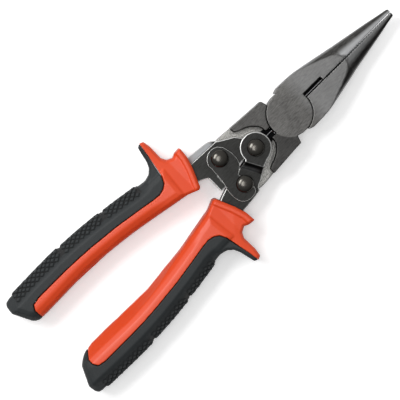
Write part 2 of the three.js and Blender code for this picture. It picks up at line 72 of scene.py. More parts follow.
MM = 0.001
MIDDLE_Z = 6.0  # the jaws' middle plane, above the frame's origin
Profile = Sequence[tuple[float, float]]


class Side(Enum):
    """The two sides of the pliers, as the sign of their y."""

    LEFT = 1
    RIGHT = -1

    @property
    def word(self) -> str:
        """The side's name, as the CAD nodes spell it."""
        return self.name.lower()

    @property
    def lever_body(self) -> str:
        """The CAD body of this side's lever."""
        return f"{self.word}_lever_body"


class Slot(Enum):
    """The record's material slots."""

    JAW = "jaw_steel"
    LEVER = "lever_steel"
    RIVET = "rivet_steel"
    SPRING = "spring_steel"
    ORANGE = "orange_plastic"
    BLACK = "black_rubber"


# ---------------------------------------------------------------- nodes and colours


def linear(hex_colour: str) -> tuple[float, float, float, float]:
    """Turns an sRGB hex colour to linear light.

    Args:
        hex_colour: Six hex digits after a hash, such as "#e85536".

    Returns:
        Linear red, green, blue and an alpha of 1.
    """
    channels = (int(hex_colour[i : i + 2], 16) / 255 for i in (1, 3, 5))
    values = [c / 12.92 if c <= 0.04045 else ((c + 0.055) / 1.055) ** 2.4 for c in channels]
    return (values[0], values[1], values[2], 1.0)


def per_mm(size_mm: float) -> float:
    """A texture's scale in repeats per metre, for a pattern of this size in millimetres."""
    return 1 / (size_mm * MM)


def add_node(tree: bpy.types.NodeTree, kind: str, inputs: dict | None = None, **settings) -> bpy.types.Node:
    """Adds a node, sets it up and links it.

    Args:
        tree: The node tree to add to.
        kind: The node's type name.
        inputs: Input name or index to a value, or to an output socket to link.
        **settings: Attributes of the node itself.

    Returns:
        The new node.
    """
    node = tree.nodes.new(kind)
    for name, value in settings.items():
        setattr(node, name, value)
    for key, value in (inputs or {}).items():
        if isinstance(value, bpy.types.NodeSocket):
            tree.links.new(value, node.inputs[key])
        else:
            node.inputs[key].default_value = value
    return node


def shader_of(name: str) -> tuple[bpy.types.Material, bpy.types.NodeTree, bpy.types.Node]:
    """A new material with its tree and its Principled shader."""
    material = bpy.data.materials.new(name)
    material.use_nodes = True
    return material, material.node_tree, material.node_tree.nodes["Principled BSDF"]


# ---------------------------------------------------------------- finishes


@dataclass(frozen=True)
class ForgedSteel:
    """Drop-forged tool steel, finished on a grinding belt and black-oxidised.

    It reads as a satin grey with fine pits, faint slanting belt marks, painted shade in the corners and
    seams, and bright metal on the edges. Metal bared by grinding, which also carries painted highlights, and
    as-forged areas are blended in by attribute.
    """

    name: str
    dark: str
    light: str
    ground: str  # where the belt went through the oxide; also the colour of painted highlights
    forged: str  # where the skin of the forging is left
    worn: str
    roughness: float = 0.42
    pit_mm: float = 0.6  # drawn coarser than the real grit, so that it shows
    cloud_mm: float = 9.0
    belt_mm: float = 0.6  # spacing of the belt marks, drawn coarser than the real ones
    belt_turn: float = 0.9  # radians, from the length of the tool
    pit_depth_mm: float = 0.04
    wear: float = 0.9
    wear_from: float = 0.25
    wear_to: float = 0.6

    def build(self) -> bpy.types.Material:
        """Builds the material.

        Returns:
            The finished material.
        """
        material, tree, shader = shader_of(self.name)
        place = add_node(tree, "ShaderNodeTexCoord").outputs["Object"]
        pits = add_node(
            tree,
            "ShaderNodeTexNoise",
            {"Vector": place, "Scale": per_mm(self.pit_mm), "Detail": 5.0, "Roughness": 0.7},
        )
        clouds = add_node(
            tree, "ShaderNodeTexNoise", {"Vector": place, "Scale": per_mm(self.cloud_mm), "Detail": 3.0}
        )
        turned_place = add_node(
            tree, "ShaderNodeMapping", {"Vector": place, "Rotation": (0, 0, self.belt_turn), "Scale": (0.22, 1, 1)}
        )
        belt = add_node(
            tree,
            "ShaderNodeTexNoise",
            {"Vector": turned_place.outputs[0], "Scale": per_mm(self.belt_mm), "Detail": 3.0, "Roughness": 0.6},
        )
        streaks = add_node(
            tree, "ShaderNodeMath", {0: belt.outputs["Fac"], 1: 1.4}, operation="MULTIPLY"
        )
        mottle = add_node(
            tree,
            "ShaderNodeMath",
            {0: pits.outputs["Fac"], 1: clouds.outputs["Fac"], 2: streaks.outputs[0]},
            operation="MULTIPLY_ADD",
        )
        tone = add_node(
            tree,
            "ShaderNodeMapRange",
            {"Value": mottle.outputs[0], "From Min": 0.6, "From Max": 1.28, "To Min": 0.0, "To Max": 1.0},
        )
        oxide = add_node(
            tree,
            "ShaderNodeMix",
            {"Factor": tone.outputs[0], 6: linear(self.dark), 7: linear(self.light)},
            data_type="RGBA",
        )
        # Metal bared by grinding, and painted highlights on the nose cone and the right lever's ramp, both mixed in
        # from this attribute.
        ground = add_node(tree, "ShaderNodeAttribute", attribute_name="ground")
        bright = add_node(
            tree,
            "ShaderNodeMix",
            {"Factor": ground.outputs["Fac"], 6: oxide.outputs[2], 7: linear(self.ground)},
            data_type="RGBA",
        )
        forged = add_node(tree, "ShaderNodeAttribute", attribute_name="forged")
        specks = add_node(
            tree,
            "ShaderNodeMapRange",
            {"Value": pits.outputs["Fac"], "From Min": 0.35, "From Max": 0.62, "To Min": 0.0, "To Max": 1.0},
        )
        speckled = add_node(
            tree, "ShaderNodeMath", {0: forged.outputs["Fac"], 1: specks.outputs[0]}, operation="MULTIPLY"
        )
        skin = add_node(
            tree,
            "ShaderNodeMix",
            {"Factor": speckled.outputs[0], 6: bright.outputs[2], 7: linear(self.forged)},
            data_type="RGBA",
        )
        edge = add_node(tree, "ShaderNodeAttribute", attribute_name="edge_wear")
        rub = add_node(
            tree,
            "ShaderNodeMapRange",
            {"Value": pits.outputs["Fac"], "From Min": 0.3, "From Max": 0.7, "To Min": 0.8, "To Max": 1.15},
        )
        rubbed = add_node(
            tree, "ShaderNodeMath", {0: edge.outputs["Fac"], 1: rub.outputs[0]}, operation="MULTIPLY"
        )
        worn_away = add_node(
            tree,
            "ShaderNodeMapRange",
            {
                "Value": rubbed.outputs[0],
                "From Min": self.wear_from,
                "From Max": self.wear_to,
                "To Min": 0.0,
                "To Max": self.wear,
            },
        )
        worn = add_node(
            tree,
            "ShaderNodeMix",
            {"Factor": worn_away.outputs[0], 6: skin.outputs[2], 7: linear(self.worn)},
            data_type="RGBA",
        )
        # Painted shade: marked corners, seams, the cutter slot, the recess and the shaded flank are mixed towards
        # near black.
        painted_shade = add_node(tree, "ShaderNodeAttribute", attribute_name="painted_shade")
        crevice_shaded = add_node(
            tree,
            "ShaderNodeMix",
            {"Factor": painted_shade.outputs["Fac"], 6: worn.outputs[2], 7: linear("#0b0b0c")},
            data_type="RGBA",
        )
        gloss = add_node(
            tree,
            "ShaderNodeMapRange",
            {
                "Value": belt.outputs["Fac"],
                "From Min": 0.3,
                "From Max": 0.7,
                "To Min": self.roughness - 0.07,
                "To Max": self.roughness + 0.08,
            },
        )
        height = add_node(
            tree, "ShaderNodeMath", {0: pits.outputs["Fac"], 1: belt.outputs["Fac"]}, operation="ADD"
        )
        bump = add_node(
            tree,
            "ShaderNodeBump",
            {"Strength": 0.3, "Distance": self.pit_depth_mm * MM, "Height": height.outputs[0]},
        )
        tree.links.new(crevice_shaded.outputs[2], shader.inputs["Base Color"])
        tree.links.new(gloss.outputs[0], shader.inputs["Roughness"])
        tree.links.new(bump.outputs[0], shader.inputs["Normal"])
        shader.inputs["Metallic"].default_value = 1.0
        return material


@dataclass(frozen=True)
class PolishedSteel:
    """Barrel-polished, blackened steel, as on rivet heads: dark, with sharp reflections and hairlines."""

    name: str
    colour: str
    roughness: float
    hairline_mm: float = 0.3

    def build(self) -> bpy.types.Material:
        """Builds the material.

        Returns:
            The finished material.
        """
        material, tree, shader = shader_of(self.name)
        place = add_node(tree, "ShaderNodeTexCoord").outputs["Object"]
        hairlines = add_node(
            tree, "ShaderNodeTexNoise", {"Vector": place, "Scale": per_mm(self.hairline_mm), "Detail": 4.0}
        )
        gloss = add_node(
            tree,
            "ShaderNodeMapRange",
            {"Value": hairlines.outputs["Fac"], "To Min": self.roughness - 0.05, "To Max": self.roughness + 0.1},
        )
        bump = add_node(
            tree,
            "ShaderNodeBump",
            {"Strength": 0.08, "Distance": 0.02 * MM, "Height": hairlines.outputs["Fac"]},
        )
        lift = add_node(
            tree,
            "ShaderNodeMapRange",
            {"Value": hairlines.outputs["Fac"], "To Min": 0.8, "To Max": 1.2},
        )
        shade = add_node(
            tree, "ShaderNodeHueSaturation", {"Color": linear(self.colour), "Value": lift.outputs[0]}
        )
        tree.links.new(shade.outputs[0], shader.inputs["Base Color"])
        tree.links.new(gloss.outputs[0], shader.inputs["Roughness"])
        tree.links.new(bump.outputs[0], shader.inputs["Normal"])
        shader.inputs["Metallic"].default_value = 1.0
        return material


@dataclass(frozen=True)
class MouldedGrip:
    """Injection-moulded grip material: an even colour with a fine spark-eroded grain and a soft gloss, darkened in
    marked places as painted shade.
    """

    name: str
    colour: str
    mottle_dark: str
    groove_shade: str
    roughness: float
    ior: float
    grain_mm: float = 0.25
    cloud_mm: float = 14.0
    grain_depth_mm: float = 0.02

    def build(self) -> bpy.types.Material:
        """Builds the material.

        Returns:
            The finished material.
        """
        material, tree, shader = shader_of(self.name)
        place = add_node(tree, "ShaderNodeTexCoord").outputs["Object"]
        grain = add_node(
            tree, "ShaderNodeTexNoise", {"Vector": place, "Scale": per_mm(self.grain_mm), "Detail": 3.0}
        )
        clouds = add_node(
            tree, "ShaderNodeTexNoise", {"Vector": place, "Scale": per_mm(self.cloud_mm), "Detail": 3.0}
        )
        tone = add_node(
            tree,
            "ShaderNodeMapRange",
            {"Value": clouds.outputs["Fac"], "From Min": 0.3, "From Max": 0.7, "To Min": 0.35, "To Max": 1.0},
        )
        colour = add_node(
            tree,
            "ShaderNodeMix",
            {"Factor": tone.outputs[0], 6: linear(self.mottle_dark), 7: linear(self.colour)},
            data_type="RGBA",
        )
        # Painted shade: where the overmould's pads and the scales' feet are marked, the colour turns to the darker
        # one for grooves.
        groove_shade = add_node(tree, "ShaderNodeAttribute", attribute_name="painted_shade")
        shaded = add_node(
            tree,
            "ShaderNodeMix",
            {"Factor": groove_shade.outputs["Fac"], 6: colour.outputs[2], 7: linear(self.groove_shade)},
            data_type="RGBA",
        )
        gloss = add_node(
            tree,
            "ShaderNodeMapRange",
            {
                "Value": grain.outputs["Fac"],
                "From Min": 0.3,
                "From Max": 0.7,
                "To Min": self.roughness - 0.05,
                "To Max": self.roughness + 0.07,
            },
        )
        bump = add_node(
            tree,
            "ShaderNodeBump",
            {"Strength": 0.3, "Distance": self.grain_depth_mm * MM, "Height": grain.outputs["Fac"]},
        )
        tree.links.new(shaded.outputs[2], shader.inputs["Base Color"])
        tree.links.new(gloss.outputs[0], shader.inputs["Roughness"])
        tree.links.new(bump.outputs[0], shader.inputs["Normal"])
        shader.inputs["IOR"].default_value = self.ior
        return material


class Finishes:
    """Every finish of the pliers, each built once and found by its slot."""

    def __init__(self) -> None:
        """Builds the materials."""
        self.by_slot = {
            # The colours of bared metal below also paint the highlights on the nose cone and on the right lever's
            # ramp.
            Slot.JAW: ForgedSteel(
                "ground_black_oxide_jaw_steel",
                dark="#444342",
                light="#6f6e6c",
                ground="#b4b5b6",
                forged="#a5a4a0",
                worn="#e2e2e2",
            ).build(),
            Slot.LEVER: ForgedSteel(
                "satin_black_oxide_lever_steel",
                dark="#232322",
                light="#373736",
                ground="#b8babc",
                forged="#5c5c5a",
                worn="#d8d8d6",
                roughness=0.4,
                pit_mm=0.3,
                pit_depth_mm=0.02,
                wear_from=0.12,
                wear_to=0.36,
            ).build(),
            Slot.RIVET: PolishedSteel("barrel_polished_rivet_steel", "#4c4a46", roughness=0.17).build(),
            Slot.SPRING: PolishedSteel("drawn_spring_steel", "#a9aaab", roughness=0.32).build(),
            # The grips' colours for grooves are painted shade, between the scales and at their feet.
            Slot.ORANGE: MouldedGrip(
                "moulded_orange_polypropylene", "#e04a1e", "#d8441c", groove_shade="#a83018", roughness=0.42, ior=1.49
            ).build(),
            Slot.BLACK: MouldedGrip(
                "moulded_black_elastomer",
                "#1c2123",
                "#171c1e",
                groove_shade="#050607",
                roughness=0.62,
                ior=1.5,
                grain_mm=0.3,
            ).build(),
        }

    def dress(self, piece: bpy.types.Object, slot: Slot) -> None:
        """Gives a piece the finish of a slot, in place of what it had."""
        piece.data.materials.clear()
        piece.data.materials.append(self.by_slot[slot])


# ---------------------------------------------------------------- mesh work


def new_piece(name: str, mesh: bpy.types.Mesh) -> bpy.types.Object:
    """Links a new object at the origin with this mesh."""
    piece = bpy.data.objects.new(name, mesh)
    bpy.context.scene.collection.objects.link(piece)
    return piece


def bake_modifiers(piece: bpy.types.Object) -> None:
    """Turns a piece and its modifiers into a plain mesh."""
    evaluated = piece.evaluated_get(bpy.context.evaluated_depsgraph_get())
    mesh = bpy.data.meshes.new_from_object(evaluated)
    piece.modifiers.clear()
    piece.data = mesh


def copy_of_node(node: str) -> bpy.types.Object:
    """A copy of a CAD node with its loose triangles joined.

    Args:
        node: The CAD node's name.

    Returns:
        The copy, linked to the scene.
    """
    piece = new_piece(f"{node}_finished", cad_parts[node].data.copy())
    shape = bmesh.new()
    shape.from_mesh(piece.data)
    bmesh.ops.remove_doubles(shape, verts=shape.verts, dist=0.002 * MM)
    shape.to_mesh(piece.data)
    shape.free()
    return piece


def bevel_by_plane(piece: bpy.types.Object, point: Vector, normal: Vector) -> None:
    """Cuts away what lies beyond a plane and closes the cut.

    Args:
        piece: The piece to cut.
        point: A point of the plane, in metres.
        normal: The plane's normal, out of the piece.
    """
    shape = bmesh.new()
    shape.from_mesh(piece.data)
    everything = shape.verts[:] + shape.edges[:] + shape.faces[:]
    cut = bmesh.ops.bisect_plane(shape, geom=everything, plane_co=point, plane_no=normal, clear_outer=True)
    rim = [item for item in cut["geom_cut"] if isinstance(item, bmesh.types.BMEdge)]
    bmesh.ops.holes_fill(shape, edges=rim)
    shape.to_mesh(piece.data)
    shape.free()


def soften(piece: bpy.types.Object, voxel_mm: float, passes: int) -> None:
    """Remakes a piece as an even, dense skin with softly broken edges.

    Args:
        piece: The piece to remake.
        voxel_mm: The spacing of the new skin.
        passes: How often it is smoothed.
    """
    remesh = piece.modifiers.new("even_skin", "REMESH")
    remesh.mode = "VOXEL"
    remesh.voxel_size = voxel_mm * MM
    smooth = piece.modifiers.new("broken_edges", "SMOOTH")
    smooth.factor = 0.5
    smooth.iterations = passes
    bake_modifiers(piece)
    piece.data.shade_smooth()


def relax(piece: bpy.types.Object, rounds: int) -> None:
    """Fairs a dense skin without shrinking its thin parts, by a step in and a step back out.

    Args:
        piece: The piece to fair.
        rounds: How often it is done.
    """
    mesh = piece.data
    count = len(mesh.vertices)
    edges = np.empty(len(mesh.edges) * 2, np.int64)
    mesh.edges.foreach_get("vertices", edges)
    first, second = edges.reshape(-1, 2).T
    degree = np.maximum(np.bincount(first, minlength=count) + np.bincount(second, minlength=count), 1)
    points = coordinates(mesh)
    for _ in range(rounds):
        for step in (0.5, -0.52):
            for axis in range(3):
                line = points[:, axis]
                total = np.bincount(first, line[second], count) + np.bincount(second, line[first], count)
                points[:, axis] = line + step * (total / degree - line)
    set_coordinates(mesh, points)


def coordinates(mesh: bpy.types.Mesh) -> np.ndarray:
    """A mesh's vertices in millimetres, one row each."""
    flat = np.empty(len(mesh.vertices) * 3, np.float32)
    mesh.vertices.foreach_get("co", flat)
    return flat.reshape(-1, 3).astype(float) / MM


def set_coordinates(mesh: bpy.types.Mesh, points: np.ndarray) -> None:
    """Writes a mesh's vertices, given in millimetres."""
    mesh.vertices.foreach_set("co", (points * MM).astype(np.float32).ravel())
    mesh.update()


def mark(piece: bpy.types.Object, name: str, values: np.ndarray) -> None:
    """Stores one number for each vertex, from 0 to 1, under a name that the finishes read.

    Args:
        piece: The piece to mark.
        name: The attribute's name.
        values: One number for each vertex. It takes the place of what the name held.
    """
    attributes = piece.data.attributes
    store = attributes.get(name) or attributes.new(name, "FLOAT", "POINT")
    store.data.foreach_set("value", np.clip(values, 0, 1).astype(np.float32))


def marks_of(piece: bpy.types.Object, name: str) -> np.ndarray:
    """Reads the numbers that mark() stored under a name."""
    values = np.empty(len(piece.data.vertices), np.float32)
    piece.data.attributes[name].data.foreach_get("value", values)
    return values


def paint_crevice_shade(piece: bpy.types.Object, reach_mm: float, rays: int = 7) -> None:
    """Stores how shut in each vertex is, as painted shade for its corners and seams.

    Args:
        piece: A dense mesh.
        reach_mm: How near a wall must be to count.
        rays: Rays cast from each vertex.
    """
    mesh = piece.data
    tree = BVHTree.FromObject(piece, bpy.context.evaluated_depsgraph_get())
    normals = np.empty(len(mesh.vertices) * 3, np.float32)
    mesh.vertices.foreach_get("normal", normals)
    normals = normals.reshape(-1, 3)
    points = coordinates(mesh) * MM + normals * 0.06 * MM
    blocked = np.zeros(len(points))
    helper = np.where(np.abs(normals[:, 2:]) < 0.9, np.array([[0, 0, 1.0]]), np.array([[1.0, 0, 0]]))
    side = np.cross(normals, helper)
    side /= np.linalg.norm(side, axis=1, keepdims=True)
    up = np.cross(normals, side)
    for ray in range(rays):
        turn = 2 * math.pi * ray / rays
        way = normals * 0.6 + (side * math.cos(turn) + up * math.sin(turn)) * 0.8
        for index, (start, direction) in enumerate(zip(points, way)):
            if tree.ray_cast(start, direction, reach_mm * MM)[0] is not None:
                blocked[index] += 1
    mark(piece, "painted_shade", (blocked / rays - 0.15) * 2.0)


def mark_edge_wear(piece: bpy.types.Object, gain: float, spread: int = 2) -> None:
    """Stores how sharply each vertex stands out, for the worn metal along a piece's edges.

    Args:
        piece: A dense, even mesh.
        gain: How strongly a bend counts.
        spread: How many rings of neighbours the wear reaches.
    """
    mesh = piece.data
    count = len(mesh.vertices)
    edges = np.empty(len(mesh.edges) * 2, np.int64)
    mesh.edges.foreach_get("vertices", edges)
    first, second = edges.reshape(-1, 2).T
    normals = np.empty(count * 3, np.float32)
    mesh.vertices.foreach_get("normal", normals)
    normals = normals.reshape(-1, 3)
    points = coordinates(mesh)
    degree = np.bincount(first, minlength=count) + np.bincount(second, minlength=count)
    degree = np.maximum(degree, 1)

    def around(values: np.ndarray) -> np.ndarray:
        """Each vertex's mean over its neighbours."""
        total = np.bincount(first, values[second], count) + np.bincount(second, values[first], count)
        return total / degree

    middle = np.stack([around(points[:, axis]) for axis in range(3)], axis=1)
    step = np.linalg.norm(points[first] - points[second], axis=1).mean()
    wear = np.clip(-((middle - points) * normals).sum(1) / step * gain, 0, 1)
    for _ in range(spread):
        wear = 0.5 * wear + 0.5 * around(wear)
    mark(piece, "edge_wear", wear)


def turned_mesh(name: str, profile: Profile, sides: int = 96) -> bpy.types.Mesh:
    """Turns a profile about the Z axis.

    Args:
        name: The mesh's name.
        profile: Radius and height pairs that start and end on the axis.
        sides: Faces round the axis.

    Returns:
        A closed mesh, about the origin.
    """
    shape = bmesh.new()
    rings = []
    for radius, height in profile:
        if radius == 0:
            rings.append([shape.verts.new((0, 0, height * MM))])
            continue
        angles = (2 * math.pi * i / sides for i in range(sides))
        places = ((radius * math.cos(a) * MM, radius * math.sin(a) * MM, height * MM) for a in angles)
        rings.append([shape.verts.new(place) for place in places])
    for low, high in zip(rings, rings[1:]):
        for i in range(sides):
            j = (i + 1) % sides
            corners = [low[i % len(low)], low[j % len(low)], high[j % len(high)], high[i % len(high)]]
            shape.faces.new(list(dict.fromkeys(corners)))
    bmesh.ops.recalc_face_normals(shape, faces=shape.faces)
    mesh = bpy.data.meshes.new(name)
    shape.to_mesh(mesh)
    shape.free()
    mesh.shade_smooth()
    return mesh


def finish_piece(
    piece: bpy.types.Object, finishes: Finishes, slot: Slot, body: str, stands_for: Iterable[str] = ()
) -> None:
    """Dresses a piece, hands it to the frame and reports it.

    Args:
        piece: The finished mesh object.
        finishes: The materials.
        slot: The material slot it takes.
        body: The CAD body it rides on.
        stands_for: The CAD nodes that it replaces.
    """
    finishes.dress(piece, slot)
    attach(piece, body)
    nodes = list(stands_for)
    if nodes:
        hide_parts(*nodes)
    log.info("%s: %d faces, rides on %s", piece.name, len(piece.data.polygons), body)


# ---------------------------------------------------------------- sub-assemblies


@dataclass
class Jaws:
    """The two crossed jaws with their tails."""

    skin_mm: float = 0.26
    passes: int = 2
    wear_gain: float = 2.4
    crevice_reach: float = 3.2
    # Per side: how much of the tails' darkening is spared (read for the other side), the painted highlight along the
    # nose's parting line, and the painted shade on the nose's flank.
    tail_dark: dict[Side, float] = field(default_factory=lambda: {Side.LEFT: 0.68, Side.RIGHT: 0.42})
    cone_highlight: dict[Side, float] = field(default_factory=lambda: {Side.LEFT: 1.0, Side.RIGHT: 0.5})
    flank_dark: dict[Side, float] = field(default_factory=lambda: {Side.LEFT: 0.3, Side.RIGHT: 0.75})
    tongue_half: float = 2.3
    tongue_start: float = -13.0

    def mark_zones(self, piece: bpy.types.Object, side: Side) -> None:
        """Marks a jaw's painted highlights on the nose cone, its slightly brighter flats, its darker tail, painted
        shade on the nose's flank, in the cutter slot and in the recess, and its rough tongue.

        Args:
            piece: The jaw's skin.
            side: The side of its nose.
        """
        points = coordinates(piece.data)
        x, y, z = points[:, 0], points[:, 1], points[:, 2] - MIDDLE_Z
        on_tongue = (x < self.tongue_start) & (np.abs(z) < self.tongue_half + 0.25)
        mark(piece, "forged", on_tongue.astype(float))
        # Painted highlight along the nose cone's parting line, painted reflection along the cone's outer rim, and the
        # nose's flat faces a little brighter.
        half_width = np.interp(x, (16, 37, 69.6), (12.3, 8.3, 2.2))
        across = np.abs(y) / half_width
        on_cone = np.clip((5.85 - np.abs(z)) / 0.2, 0, 1) * np.clip((x - 15) / 3, 0, 1)
        near_seam = np.clip((0.62 - across) / 0.3, 0, 1) * on_cone * np.clip((x - 34) / 3, 0, 1)
        rim = np.clip((across - 0.9) / 0.08, 0, 1) * on_cone * 0.45
        flats = np.clip((x - 6) / 8, 0, 1) * (1 - on_cone) * 0.22
        mark(piece, "ground", np.maximum(np.maximum(near_seam * self.cone_highlight[side], rim), flats))
        # Both tails darker than the disc, the one on the right side darker still as painted shade; painted shade on
        # the nose's flank, heavier on the right jaw.
        away = np.hypot(x, y) > 11.4
        tail = np.clip((-x - 2) / 2, 0, 1) * away * ~on_tongue
        other = Side.RIGHT if side is Side.LEFT else Side.LEFT
        flank = on_cone * np.clip((across - 0.5) / 0.2, 0, 1) * np.clip((0.95 - across) / 0.08, 0, 1)
        # Painted shade filling the cutter slot, which also darkens that patch of the back face, as the mask has no
        # lower bound in z, and the recess between the tails.
        in_cutter = (x > 10.8) & (x < 23.4) & (y > -0.6) & (y < 2.6) & (z < 5.5)
        in_recess = (x > -16.2) & (x < -10.9) & (np.abs(y) < 3.6) & (np.abs(z) < 5.4)
        dark = np.maximum(tail * (1 - self.tail_dark[other]), flank * self.flank_dark[side])
        self.darken(piece, np.maximum(dark, (in_cutter | in_recess) * 1.0))

    def darken(self, piece: bpy.types.Object, amount: np.ndarray) -> None:
        """Raises a piece's marks of painted shade to at least this amount."""
        mark(piece, "painted_shade", np.maximum(marks_of(piece, "painted_shade"), amount))

    def build(self, finishes: Finishes) -> None:
        """Makes both jaws from their CAD solids, with edges worn bright, painted shade and painted highlights."""
        for side in Side:
            node = f"jaw_{side.word}"
            piece = copy_of_node(node)
            soften(piece, self.skin_mm, self.passes)
            mark_edge_wear(piece, self.wear_gain)
            paint_crevice_shade(piece, self.crevice_reach)
            self.mark_zones(piece, side)
            finish_piece(piece, finishes, Slot.JAW, f"{side.word}_jaw_body", [node])


@dataclass
class Levers:
    """The two forged handle levers."""

    skin_mm: float = 0.24
    passes: int = 2
    wear_gain: float = 6.5
    crevice_reach: float = 2.0
    ramp_from: float = -11.9  # along the rivet line, from the middle rivet
    ramp_to: float = -7.6
    flank_start: tuple[float, float] = (-36.0, 15.6)
    flank_end: tuple[float, float] = (-50.0, 16.2)
    flank_front: float = 5.3  # above the middle plane, where the grinding of the flank starts
    flank_steepness: float = 0.85  # drop per millimetre of width

    def mark_ground_and_painted_light(self, piece: bpy.types.Object, side: Side) -> None:
        """Marks the left lever's flank and stop lug as bright metal bared by grinding, or paints a highlight and
        shade on the ramp beside the right lever's eye.

        Args:
            piece: The lever's skin.
            side: The side it is on.
        """
        points = coordinates(piece.data)
        along = np.clip((-36 - points[:, 0]) / 2, 0, 1)
        line = np.interp(points[:, 0], (-50, -36), (self.flank_end[1], self.flank_start[1]))
        beyond = np.clip((points[:, 1] - line - 0.15) / 0.3, 0, 1) * along
        lug = (points[:, 0] < -49.4) & (points[:, 1] < 5.3)
        if side is Side.LEFT:
            mark(piece, "ground", np.maximum(beyond, lug * 1.0))
            return
        centre, rivet = (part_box(name) for name in ("centre_rivet", "right_rivet"))
        middle = (centre[0] + centre[1]) / 2 / MM
        away = (middle - (rivet[0] + rivet[1]) / 2 / MM).xy.normalized()
        offset = points[:, :2] - np.array(middle.xy)
        on_line = offset @ np.array(away)
        aside = np.abs(offset @ np.array((-away.y, away.x)))
        ramp = (on_line > self.ramp_from) & (on_line < self.ramp_to) & (points[:, 2] > MIDDLE_Z + 5)
        # Painted highlight across the ramp's middle, and painted shade deepening towards the eye boss in place of the
        # ray-cast shade there.
        shine = np.clip(1 - np.abs(on_line + 10.4) / 1.2, 0, 1) * np.clip((6 - aside) / 4, 0, 1)
        mark(piece, "ground", ramp * shine * 0.7)
        shade = np.clip((on_line + 10.2) / 2.2, 0, 0.75)
        mark(piece, "painted_shade", np.where(ramp, shade, marks_of(piece, "painted_shade")))

    def grind_flank(self, piece: bpy.types.Object) -> None:
        """Grinds the broad bevels along the left lever's outer side, front and back."""
        start, end = Vector(self.flank_start), Vector(self.flank_end)
        along = (end - start).normalized()
        outward = Vector((along.y, -along.x))
        for front in (1, -1):
            point = Vector((start.x, start.y, MIDDLE_Z + front * self.flank_front)) * MM
            normal = Vector((outward.x * self.flank_steepness, outward.y * self.flank_steepness, front))
            bevel_by_plane(piece, point, normal.normalized())

    def build(self, finishes: Finishes) -> None:
        """Makes both levers from their CAD solids."""
        for side in Side:
            node = f"lever_{side.word}"
            piece = copy_of_node(node)
            if side is Side.LEFT:
                self.grind_flank(piece)
            soften(piece, self.skin_mm, self.passes)
            mark_edge_wear(piece, self.wear_gain)
            paint_crevice_shade(piece, self.crevice_reach)
            self.mark_ground_and_painted_light(piece, side)
            finish_piece(piece, finishes, Slot.LEVER, side.lever_body, [node])


@dataclass
class Latch:
    """The hook latch: a stamped plate with bright sheared edges."""

    skin_mm: float = 0.14
    passes: int = 1
    wear_gain: float = 9.0

    def build(self, finishes: Finishes) -> None:
        """Makes the plate from its CAD solid."""
        piece = copy_of_node("latch_plate")
        soften(piece, self.skin_mm, self.passes)
        mark_edge_wear(piece, self.wear_gain, spread=1)
        finish_piece(piece, finishes, Slot.LEVER, "latch_body", ["latch_plate"])


@dataclass
class Rivets:
    """The three lever rivets, with peened domes, and the washers behind them."""

    dome_height: float = 2.35
    foot_height: float = 0.35
    steps: int = 14

    def dome(self, radius: float, base: float) -> list[tuple[float, float]]:
        """The front head's profile from its rim to the axis.

        Args:
            radius: The head's radius.
            base: Height of the head's underside.

        Returns:
            Radius and height pairs.
        """
        rim = [(radius, base), (radius, base + self.foot_height)]
        curve = []
        for step in range(1, self.steps):
            angle = math.pi / 2 * step / self.steps
            height = base + self.foot_height + (self.dome_height - self.foot_height) * math.sin(angle)
            curve.append((radius * math.cos(angle) ** 0.8, height))
        return [*rim, *curve, (0.0, base + self.dome_height)]

    def build(self, finishes: Finishes) -> None:
        """Makes the rivets to the size of their CAD solids, and finishes the washers."""
        bodies = {
            "centre_rivet": Side.RIGHT.lever_body,
            "left_rivet": Side.LEFT.lever_body,
            "right_rivet": Side.RIGHT.lever_body,
        }
        for node, body in bodies.items():
            low, high = (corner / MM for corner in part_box(node))
            radius = (high.x - low.x) / 2
            shaft = radius * 0.68
            neck = radius * 0.57 if node == "right_rivet" else shaft
            neck_base = MIDDLE_Z + 5.3
            back, front = low.z + 1.5, high.z - 2.2
            profile = [
                (0.0, low.z),
                (radius * 0.55, low.z + 0.05),
                (radius * 0.8, low.z + 0.3),
                (radius * 0.95, low.z + 0.8),
                (radius, back - 0.2),
                (radius, back),
                (shaft, back),
                (shaft, neck_base),
                (neck, neck_base + 0.01),
                (neck, front),
                *self.dome(radius, front),
            ]
            mesh = turned_mesh(node, profile)
            mesh.transform(Matrix.Translation(((low.x + high.x) / 2 * MM, (low.y + high.y) / 2 * MM, 0)))
            finish_piece(new_piece(f"{node}_finished", mesh), finishes, Slot.RIVET, body, [node])
        for node in ("main_pivot_pin", "centre_rear_washer", "left_rear_washer", "right_rear_washer"):
            finishes.dress(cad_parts[node], Slot.RIVET)


@dataclass
class Spring:
    """The opening spring, its sleeve and the other spring-steel washers."""

    skin_mm: float = 0.13
    passes: int = 2

    def build(self, finishes: Finishes) -> None:
        """Rounds the spring's wire and finishes the small steel parts."""
        piece = copy_of_node("opening_spring")
        soften(piece, self.skin_mm, self.passes)
        finish_piece(piece, finishes, Slot.SPRING, "spring_body", ["opening_spring"])
        for node in ("spring_sleeve", "main_pivot_washer", "latch_wave_washer"):
            finishes.dress(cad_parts[node], Slot.SPRING)


